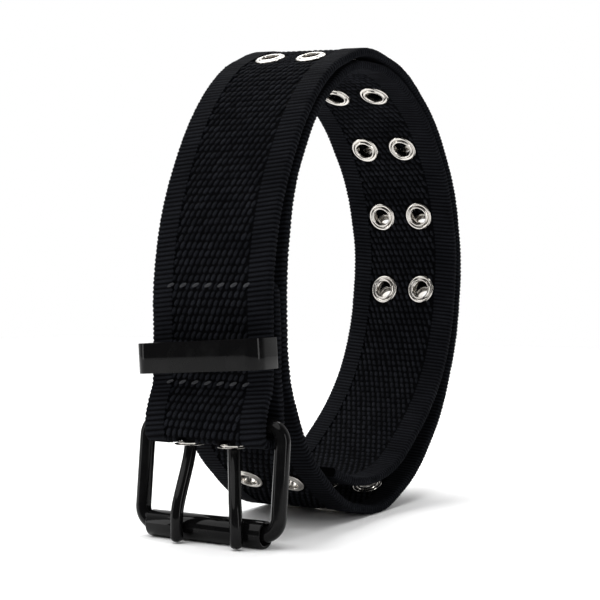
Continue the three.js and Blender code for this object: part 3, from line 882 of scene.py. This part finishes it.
def draw_along(piece, steps, middle=0.0):
    """Draws the section out along X by (run, size) steps, each sized about the section's middle."""
    edit(piece)
    for run, size in steps:
        bpy.ops.mesh.extrude_region_move(TRANSFORM_OT_translate={"value": (run, 0, 0)})
        if size != 1.0:
            bpy.ops.transform.resize(value=(1, size, size), center_override=(0, middle, 0))
    leave_edit()


def webbing_core():
    """The plain ground of the webbing between its edge bands, with a hole under every eyelet."""
    strap, length = webbing(), belt_path().length
    count = int(length / GROUND_STEP)
    clear_selection()
    bpy.ops.mesh.primitive_plane_add(size=1, rotation=(0, math.pi / 2, 0))
    core = started("webbing_core")
    core.scale = (GROUND_THICKNESS, strap.width - 2 * strap.band + GROUND_UNDER_BANDS, 1)
    settle(core)
    edit(core)
    bpy.ops.mesh.subdivide(number_cuts=5)
    leave_edit()
    keep_outline(core)
    draw_along(core, [(length / count, 1.0)])
    row_of(core, count, (length / count, 0, 0), welded=True)
    cap_ends(core)
    cutters = eyelet_cutters()
    apply(core, "BOOLEAN", operation="DIFFERENCE", object=cutters, solver="EXACT")
    discard(cutters)
    coil_up(core)
    shade(core, 50)
    return core


def eyelet_cutters():
    """Rods through the flat webbing where the eyelets sit."""
    clear_selection()
    bpy.ops.mesh.primitive_cylinder_add(vertices=20, radius=EYELET_HOLE_RADIUS, depth=0.006)
    rod = started("eyelet_rod")
    rods = [copy_to(rod, f"rod_{number}", Matrix.Translation((*place, 0)))
            for number, place in enumerate(belt_path().eyelet_places())]
    discard(rod)
    only(*rods)
    bpy.ops.object.join()
    return rods[0]


def selvedge(name, side):
    """One ribbed edge band, rounded over at the edge of the webbing."""
    strap, length = webbing(), belt_path().length
    count = int(length / strap.rib_pitch)
    pitch = length / count
    thin = strap.thickness - 2 * RIB_GROOVE
    middle = side * (strap.width - strap.band) / 2
    clear_selection()
    bpy.ops.mesh.primitive_plane_add(size=1, rotation=(0, math.pi / 2, 0), location=(0, middle, 0))
    band = started(name)
    band.scale = (thin, strap.band - 2 * RIB_GROOVE, 1)
    settle(band)
    edit(band, action="DESELECT")
    bpy.ops.object.mode_set(mode="OBJECT")
    for vertex in band.data.vertices:
        vertex.select = vertex.co.y * side > abs(middle)
    bpy.ops.object.mode_set(mode="EDIT")
    bpy.ops.mesh.bevel(offset=BAND_ROUNDING, segments=3, affect="VERTICES")
    leave_edit()
    keep_outline(band)
    grow = strap.thickness / thin
    draw_along(band, [(pitch * run, grow ** power) for run, power in RIB_STEPS], middle)
    row_of(band, count, (pitch, 0, 0), welded=True)
    cap_ends(band)
    # Crest height along each rib, used to darken the grooves between ribs as painted shade
    phase = places_of(band)[:, 0] / pitch
    keep_crest(band, 0.5 - 0.5 * np.cos(2 * math.pi * phase))
    uneven(band, YARN_WOBBLE)
    coil_up(band, strap.rib_slant)
    shade(band, 60)
    return band


def keep_crest(piece, height):
    """Keeps how far each corner stands out of its groove, for the painted shade in the yarn's grooves."""
    layer = piece.data.attributes.new("crest", "FLOAT", "POINT")
    layer.data.foreach_set("value", np.ascontiguousarray(height, float).reshape(-1))


def uneven(piece, amount):
    """Small seeded irregularity, as of spun yarn."""
    places = places_of(piece)
    wobble = np.random.default_rng(11).normal(0, amount, places.shape)
    put_places(piece, places + wobble)


def grain_rows(name, face):
    """Slanted oval grains of the weave over one face of the webbing."""
    strap, length = webbing(), belt_path().length
    rows = int((length - 0.002) / (2 * strap.row_pitch))
    clear_selection()
    bpy.ops.mesh.primitive_uv_sphere_add(segments=8, ring_count=6, radius=1)
    grain = started(name)
    edit(grain)
    bpy.ops.mesh.bisect(plane_co=(0, 0, -0.2), plane_no=(0, 0, 1), clear_inner=True, use_fill=True)
    leave_edit()
    grain.scale = GRAIN_SIZE
    grain.rotation_euler = (0, 0, -strap.grain_slant)
    grain.location = (0, -strap.grain_pitch * (GRAINS_ACROSS - 1) / 2, 0)
    settle(grain)
    size = len(grain.data.vertices)
    row_of(grain, GRAINS_ACROSS, (0, strap.grain_pitch, 0))
    only(grain)
    bpy.ops.object.duplicate()
    second = bpy.context.object
    second.location = (strap.row_pitch, strap.grain_pitch / 2, 0)
    settle(second)
    only(grain, second)
    bpy.ops.object.join()
    row_of(grain, rows, (2 * strap.row_pitch, 0, 0))
    lumps = places_of(grain).reshape(-1, size, 3) + (GRAIN_START, 0, 0)
    # Crest height of each grain, used to darken its foot as painted shade; each grain also gets a random tone
    crest = np.clip((lumps[:, :, 2] + GRAIN_LOW) / GRAIN_HEIGHT, 0, 1)
    chance = np.random.default_rng(5 if face > 0 else 9)
    middles = lumps.mean(axis=1, keepdims=True)
    scale = chance.normal(1, GRAIN_SIZE_SPREAD, (len(lumps), 1, 3))
    jitter = chance.normal(0, GRAIN_PLACE_SPREAD, (len(lumps), 1, 3)) * (1, 1, 0.5)
    lumps = middles + (lumps - middles) * scale + jitter
    crest *= chance.uniform(0.6, 1.0, (len(lumps), 1))
    lumps[:, :, 2] = face * (lumps[:, :, 2] + GRAIN_LIFT)
    put_places(grain, lumps.reshape(-1, 3))
    keep_crest(grain, crest)
    if face < 0:
        grain.data.flip_normals()
    delete_grains(grain, np.repeat(~grain_kept(middles[:, 0], face), size))
    coil_up(grain)
    shade(grain, 80)
    return grain


def delete_grains(grain, dropped):
    edit(grain, action="DESELECT")
    bpy.ops.object.mode_set(mode="OBJECT")
    grain.data.vertices.foreach_set("select", dropped)
    bpy.ops.object.mode_set(mode="EDIT")
    bpy.ops.mesh.delete(type="VERT")
    leave_edit()


def grain_kept(middles, face):
    """Which grains stay: none under an eyelet, past the bands, or beside the prongs' eyes."""
    along, across = middles[:, 0], middles[:, 1]
    places = belt_path().eyelet_places()
    keep = np.abs(across) < webbing().width / 2 - webbing().band + 0.0001
    keep &= along < belt_path().length - BARE_TIP
    for number, (length, row) in enumerate(places):
        share = PRONG_EYELET_CLEARS if number < 2 else 1
        keep &= np.hypot(along - length, across - row) > eyelets().clear_radius * share
    if face < 0:
        for low, row in places[:2]:
            beside = np.abs(across - row) < BARE_BESIDE_EYE
            keep &= ~(beside & (np.abs(along - low) < BARE_ALONG_EYE))
    return keep


class BELT_OT_webbing(bpy.types.Operator):
    """Builds the ground of the webbing and its two ribbed edge bands"""
    bl_idname = "belt.webbing"
    bl_label = "Webbing"

    def execute(self, context):
        finish(webbing_core(), "belt", webbing_material(), "strap")
        for name, side in (("selvedge_far", 1), ("selvedge_near", -1)):
            finish(selvedge(name, side), "belt", rib_material())
        return {"FINISHED"}


class BELT_OT_weave(bpy.types.Operator):
    """Covers both faces of the webbing with woven grains"""
    bl_idname = "belt.weave"
    bl_label = "Weave"

    def execute(self, context):
        for name, face in (("weave_outside", 1), ("weave_inside", -1)):
            finish(grain_rows(name, face), "belt", grain_material())
        return {"FINISHED"}


class BELT_OT_stitches(bpy.types.Operator):
    """Sews the tail to the front ply with two rows of thread"""
    bl_idname = "belt.stitches"
    bl_label = "Stitches"

    def execute(self, context):
        path = belt_path()
        clear_selection()
        bpy.ops.mesh.primitive_uv_sphere_add(segments=10, ring_count=8, radius=1)
        stitch = started("stitch")
        edit(stitch)
        bpy.ops.mesh.bevel(offset=0.1, segments=1, affect="EDGES", offset_type="OFFSET")
        leave_edit()
        stitch.scale = STITCH_SIZE
        settle(stitch)
        made = []
        for height in STITCH_ROWS:
            leg = path.nearest(path.leg + 0.0013, height, path.leg_start - 0.02, path.leg_start + 0.08)
            tail = path.nearest(path.leg + 0.0042, height, 0.0, 0.045)
            for length, face in ((leg, 1), (tail, -1)):
                turn = Matrix.Rotation(STITCH_LEAN * face, 4, "Z")
                for k in range(STITCH_COUNT):
                    place = Matrix.Translation((length, STITCH_START - STITCH_PITCH * k, STITCH_LIFT))
                    made.append(copy_to(stitch, f"stitch_{len(made)}", place @ turn))
        discard(stitch)
        only(*made)
        bpy.ops.object.join()
        stitches = started("stitches")
        coil_up(stitches)
        shade(stitches, 60)
        finish(stitches, "belt", thread_material())
        return {"FINISHED"}


# Eyelets


def on_seat(middle, normal):
    turn = Vector((0, 0, 1)).rotation_difference(normal)
    return Matrix.Translation(middle) @ turn.to_matrix().to_4x4()


class BELT_OT_eyelets(bpy.types.Operator):
    """Sets a rolled nickel eyelet and its washer at every place in both rows"""
    bl_idname = "belt.eyelets"
    bl_label = "Eyelets"

    def execute(self, context):
        path, spacing = belt_path(), eyelets().row_spacing
        rows = {"left": spacing / 2, "right": -spacing / 2}
        eyelet = turned("eyelet", [(r * MM, h * MM) for r, h in EYELET_PROFILE], 32)
        ring = turned("ring", [(r * MM, h * MM) for r, h in PRONG_EYELET_PROFILE], 32)
        shade(eyelet, 70)
        shade(ring, 70)
        for number, length in enumerate(path.pair_lengths(), 1):
            for side, row in rows.items():
                name = f"eyelet_{side}_{number:02d}"
                copy = copy_to(eyelet, "nickel_" + name, on_seat(*path.seat(length, row)))
                finish(copy, "belt", nickel_material(), name)
        mouth = path.bar[0] - PRONG_EYELET_BEFORE_BAR + path.shift
        for side, row in rows.items():
            name = f"prong_eyelet_{side}"
            copy = copy_to(ring, "nickel_" + name, Matrix.Translation((mouth, row, path.fold_face)))
            finish(copy, "belt", nickel_material(), name)
        discard(eyelet)
        discard(ring)
        return {"FINISHED"}


# Buckle


def hang(piece):
    """Carries a part drawn in the frame's own plane (down is -Z from the bar) to its tilted place."""
    path, metal = belt_path(), buckle()
    place = Matrix.Translation((path.bar[0] + path.shift, metal.side_shift, path.bar[1]))
    piece.data.transform(place @ Matrix.Rotation(metal.tilt, 4, "Y"))


class BELT_OT_frame(bpy.types.Operator):
    """Bends the closed wire frame"""
    bl_idname = "belt.frame"
    bl_label = "Frame"

    def execute(self, context):
        metal = buckle()
        side = metal.clear_width / 2 + metal.wire / 2
        corner, drop = metal.corner, metal.drop
        clear_selection()
        bpy.ops.mesh.primitive_circle_add(vertices=28, radius=metal.wire * metal.wire_round / 2,
                                          fill_type="NOTHING", location=(0, side, -drop / 2))
        wire = started("enamel_frame")
        settle(wire)
        edit(wire)
        half_run, half_width = drop / 2 - corner, side - corner
        bends = (
            ((0, 0, -half_run), (0, half_width, -drop + corner)),
            ((0, -2 * half_width, 0), (0, -half_width, -drop + corner)),
            ((0, 0, 2 * half_run), (0, -half_width, -corner)),
            ((0, 2 * half_width, 0), (0, half_width, -corner)),
        )
        for move, centre in bends:
            next_ring(move)
            bpy.ops.mesh.spin(steps=10, angle=math.pi / 2, center=centre, axis=(1, 0, 0))
        next_ring((0, 0, -half_run))
        leave_edit()
        face_outward(wire, MERGE_DISTANCE)
        hang(wire)
        shade(wire, 60)
        finish(wire, "frame", enamel_material(), "frame")
        return {"FINISHED"}


class BELT_OT_roller(bpy.types.Operator):
    """Makes the tube that rolls on the lower bar"""
    bl_idname = "belt.roller"
    bl_label = "Roller"

    def execute(self, context):
        path, metal = belt_path(), buckle()
        outer, half, lip = metal.roller / 2, metal.roller_length / 2, ROLLER_LIP
        inner = outer - metal.roller_wall
        shoulder = (
            (inner, half - lip), (inner + lip, half), (outer - lip, half),
            (outer - 0.3 * lip, half - 0.3 * lip), (outer, half - lip),
        )
        far = [(radius, -along) for radius, along in reversed(shoulder)]
        roller = turned("enamel_roller", [(inner, 0), *shoulder, (outer, 0), *far], 48)
        place = Matrix.Translation((path.roller[0] + path.shift, metal.side_shift, path.roller[1]))
        roller.data.transform(place @ Matrix.Rotation(math.pi / 2, 4, "X"))
        shade(roller, 50)
        finish(roller, "roller", enamel_material(), "roller")
        return {"FINISHED"}


def prong(name, row, lean):
    """An eye round the bar and a round shank that lies over the roller's front."""
    path, metal = belt_path(), buckle()
    radius = metal.prong / 2
    front = path.roller[0] - metal.roller / 2 - PRONG_FROM_ROLLER - radius
    bar, reach, fall = path.bar, front - path.bar[0], path.roller[1] - path.bar[1]
    middles = [Vector((bar[0] + reach * out + path.shift, row - lean * aside, bar[1] + fall * down))
               for out, down, aside in PRONG_SECTIONS]
    clear_selection()
    bpy.ops.mesh.primitive_circle_add(vertices=20, radius=radius * metal.wire_round, fill_type="NGON",
                                      location=middles[0])
    shank = started(name)
    settle(shank)
    edit(shank)
    way = Vector((0, 0, -1))
    for k in range(1, len(middles)):
        ahead = (middles[min(k + 1, len(middles) - 1)] - middles[k - 1]).normalized()
        next_ring(middles[k] - middles[k - 1])
        turn_selected(shank, way.rotation_difference(ahead), middles[k])
        way = ahead
    tip = middles[-1]
    for drop, share in PRONG_TIP:
        tip = tip + Vector((0, 0, -drop))
        next_ring((0, 0, -drop), share, tip)
    leave_edit()
    face_outward(shank)
    inner, outer = metal.wire / 2 + EYE_INNER_GAP, metal.wire / 2 + EYE_OUTER_GAP
    flat, chamfer = EYE_HALF_WIDTH - EYE_CHAMFER, EYE_CHAMFER
    eye = turned(name + "_eye", [
        (inner, flat), (inner, -flat), (inner + chamfer, -EYE_HALF_WIDTH), (outer - chamfer, -EYE_HALF_WIDTH),
        (outer, -flat), (outer, flat), (outer - chamfer, EYE_HALF_WIDTH), (inner + chamfer, EYE_HALF_WIDTH),
    ], 32)
    place = Matrix.Translation((bar[0] + path.shift, row, bar[1]))
    eye.data.transform(place @ Matrix.Rotation(math.pi / 2, 4, "X"))
    only(shank, eye)
    bpy.ops.object.join()
    shade(shank, 50)
    return shank


def turn_selected(piece, turn, centre):
    """Turns the selected corners about a point."""
    bpy.ops.object.mode_set(mode="OBJECT")
    matrix = turn.to_matrix()
    for vertex in piece.data.vertices:
        if vertex.select:
            vertex.co = centre + matrix @ (vertex.co - centre)
    bpy.ops.object.mode_set(mode="EDIT")


class BELT_OT_prongs(bpy.types.Operator):
    """Makes the two prongs"""
    bl_idname = "belt.prongs"
    bl_label = "Prongs"

    def execute(self, context):
        row = eyelets().row_spacing / 2
        for side, place, lean in (("left", row, buckle().lean_left), ("right", -row, buckle().lean_right)):
            body = f"prong_{side}"
            finish(prong("enamel_" + body, place, lean), body, enamel_material(), body)
        return {"FINISHED"}


class BELT_OT_keeper(bpy.types.Operator):
    """Bends the flat metal strip of the keeper round the front leg"""
    bl_idname = "belt.keeper"
    bl_label = "Keeper"

    def execute(self, context):
        path, metal = belt_path(), buckle()
        front = path.leg - metal.keeper_room - metal.keeper_wall
        back = path.leg + webbing().thickness + KEEPER_BACK_GAP + metal.keeper_wall
        side = webbing().width / 2 + metal.keeper_side + metal.keeper_wall
        middle = (front + back) / 2 + path.shift
        clear_selection()
        bpy.ops.mesh.primitive_cube_add(size=1, location=(middle, 0, 0))
        strip = started("enamel_keeper")
        strip.scale = (back - front, 2 * side, metal.keeper_height)
        settle(strip)
        for in_front, radius, segments in ((True, metal.keeper_corner, 10), (False, KEEPER_BACK_CORNER, 5)):
            edit(strip, "EDGE", "DESELECT")
            bpy.ops.object.mode_set(mode="OBJECT")
            points = strip.data.vertices
            for edge in strip.data.edges:
                low, high = (points[k].co for k in edge.vertices)
                upright = abs(low.z - high.z) > metal.keeper_height / 2
                edge.select = upright and (low.x < middle) == in_front and abs(abs(low.y) - side) < 1e-6
            bpy.ops.object.mode_set(mode="EDIT")
            bpy.ops.mesh.bevel(offset=radius, segments=segments, affect="EDGES")
            bpy.ops.object.mode_set(mode="OBJECT")
        edit(strip, "FACE", "DESELECT")
        bpy.ops.object.mode_set(mode="OBJECT")
        for face in strip.data.polygons:
            face.select = abs(face.normal.z) > 0.9
        bpy.ops.object.mode_set(mode="EDIT")
        bpy.ops.mesh.delete(type="ONLY_FACE")
        leave_edit()
        apply(strip, "SOLIDIFY", thickness=metal.keeper_wall, offset=-1)
        apply(strip, "BEVEL", width=KEEPER_EDGE, segments=2, limit_method="ANGLE",
              angle_limit=math.radians(40))
        lift = Matrix.Translation((0, 0, metal.keeper_rise))
        strip.data.transform(lift @ Matrix.Rotation(-metal.keeper_roll, 4, "X"))
        shade(strip, 35)
        finish(strip, "belt", enamel_material(), "keeper")
        return {"FINISHED"}


# Stage


def lamp(name, kind, power, place, way):
    """A light at a place, shining along a way."""
    data = bpy.data.lights.new(name, kind)
    data.energy = power
    light = bpy.data.objects.new(name, data)
    bpy.context.scene.collection.objects.link(light)
    light.location = place
    light.rotation_euler = Vector(way).to_track_quat("-Z", "Y").to_euler()
    return data


def soft_light(power, name, place, aim, size):
    """A large rectangular light turned towards its aim."""
    data = lamp(name, "AREA", power, place, Vector(aim) - Vector(place))
    data.shape = "RECTANGLE"
    data.size, data.size_y = size


def studio_world(studio):
    """A white surround behind the belt and a dark one in front, plain white to look at."""
    world = bpy.data.worlds.new("White studio")
    world.use_nodes = True
    tree = world.node_tree
    way = add(tree, "ShaderNodeTexCoord")
    facing = add(tree, "ShaderNodeVectorMath", {1: BEHIND}, operation="DOT_PRODUCT")
    level = add(tree, "ShaderNodeMapRange", {
        "From Min": -0.1, "From Max": 0.5, "To Min": studio.front, "To Max": studio.back})
    seen = add(tree, "ShaderNodeLightPath")
    strength = add(tree, "ShaderNodeMath", operation="MAXIMUM")
    surround = tree.nodes["Background"]
    surround.inputs["Color"].default_value = (1, 1, 1, 1)
    connect(
        tree, (way, "Generated", facing, 0), (facing, "Value", level, "Value"), (level, 0, strength, 0),
        (seen, "Is Camera Ray", strength, 1), (strength, 0, surround, "Strength"))
    return world


def studio_camera(lens):
    """The camera where the photograph was taken from."""
    data = bpy.data.cameras.new("camera")
    data.lens = lens
    data.sensor_width = SENSOR_WIDTH
    data.clip_start = 0.01
    camera = bpy.data.objects.new("camera", data)
    right, ahead = Vector(CAMERA_RIGHT).normalized(), Vector(CAMERA_AHEAD).normalized()
    turn = Matrix((right, right.cross(ahead), -ahead)).transposed().to_4x4()
    camera.matrix_world = Matrix.Translation(CAMERA_PLACE) @ turn
    return camera


class BELT_OT_stage(bpy.types.Operator):
    """Sets the pale floor, the soft lights and the camera"""
    bl_idname = "belt.stage"
    bl_label = "Stage"

    def execute(self, context):
        scene, studio = context.scene, context.scene.belt_stage
        clear_selection()
        bpy.ops.mesh.primitive_plane_add(size=FLOOR_SIZE, location=FLOOR_PLACE)
        floor = started("floor")
        settle(floor)
        material, _, surface = fresh("Pale floor")
        surface.inputs["Base Color"].default_value = (*studio.floor_colour, 1)
        surface.inputs["Roughness"].default_value = 0.8
        floor.data.materials.append(material)
        scene.world = studio_world(studio)
        soft_light(studio.key, *KEY_LIGHT)
        soft_light(LEFT_SHARE * studio.side, *LEFT_LIGHT)
        soft_light(studio.side, *RIGHT_LIGHT)
        lamp("sky_light", "SUN", studio.sky, (0, 0, 0), SKY_DIRECTION).angle = SKY_ANGLE
        camera = studio_camera(studio.lens)
        scene.collection.objects.link(camera)
        scene.camera = camera
        scene.view_settings.view_transform = "Standard"
        return {"FINISHED"}


class BELT_PT_pieces(bpy.types.Panel):
    """Lists the belt's pieces and sizes"""
    bl_idname = "BELT_PT_pieces"
    bl_label = "Webbing belt"
    bl_space_type = "VIEW_3D"
    bl_region_type = "UI"
    bl_category = "Belt"

    def draw(self, context):
        layout = self.layout
        for operator in OPERATORS:
            layout.operator(operator.bl_idname)
        for name, _ in GROUPS:
            settings = getattr(context.scene, name)
            box = layout.box()
            for key in settings.__annotations__:
                box.prop(settings, key)


OPERATORS = (
    BELT_OT_stage, BELT_OT_webbing, BELT_OT_weave, BELT_OT_stitches, BELT_OT_eyelets, BELT_OT_frame,
    BELT_OT_roller, BELT_OT_prongs, BELT_OT_keeper,
)
GROUPS = (
    ("belt_webbing", WebbingSettings), ("belt_coil", CoilSettings), ("belt_eyelets", EyeletSettings),
    ("belt_buckle", BuckleSettings), ("belt_stage", StageSettings),
)


def register():
    for name, group in GROUPS:
        bpy.utils.register_class(group)
        setattr(bpy.types.Scene, name, PointerProperty(type=group))
    for item in OPERATORS + (BELT_PT_pieces,):
        bpy.utils.register_class(item)


def unregister():
    for item in reversed(OPERATORS + (BELT_PT_pieces,)):
        bpy.utils.unregister_class(item)
    for name, group in reversed(GROUPS):
        delattr(bpy.types.Scene, name)
        bpy.utils.unregister_class(group)


def main():
    register()
    for operator in OPERATORS:
        family, name = operator.bl_idname.split(".")
        getattr(getattr(bpy.ops, family), name)()


if __name__ == "__main__":
    main()
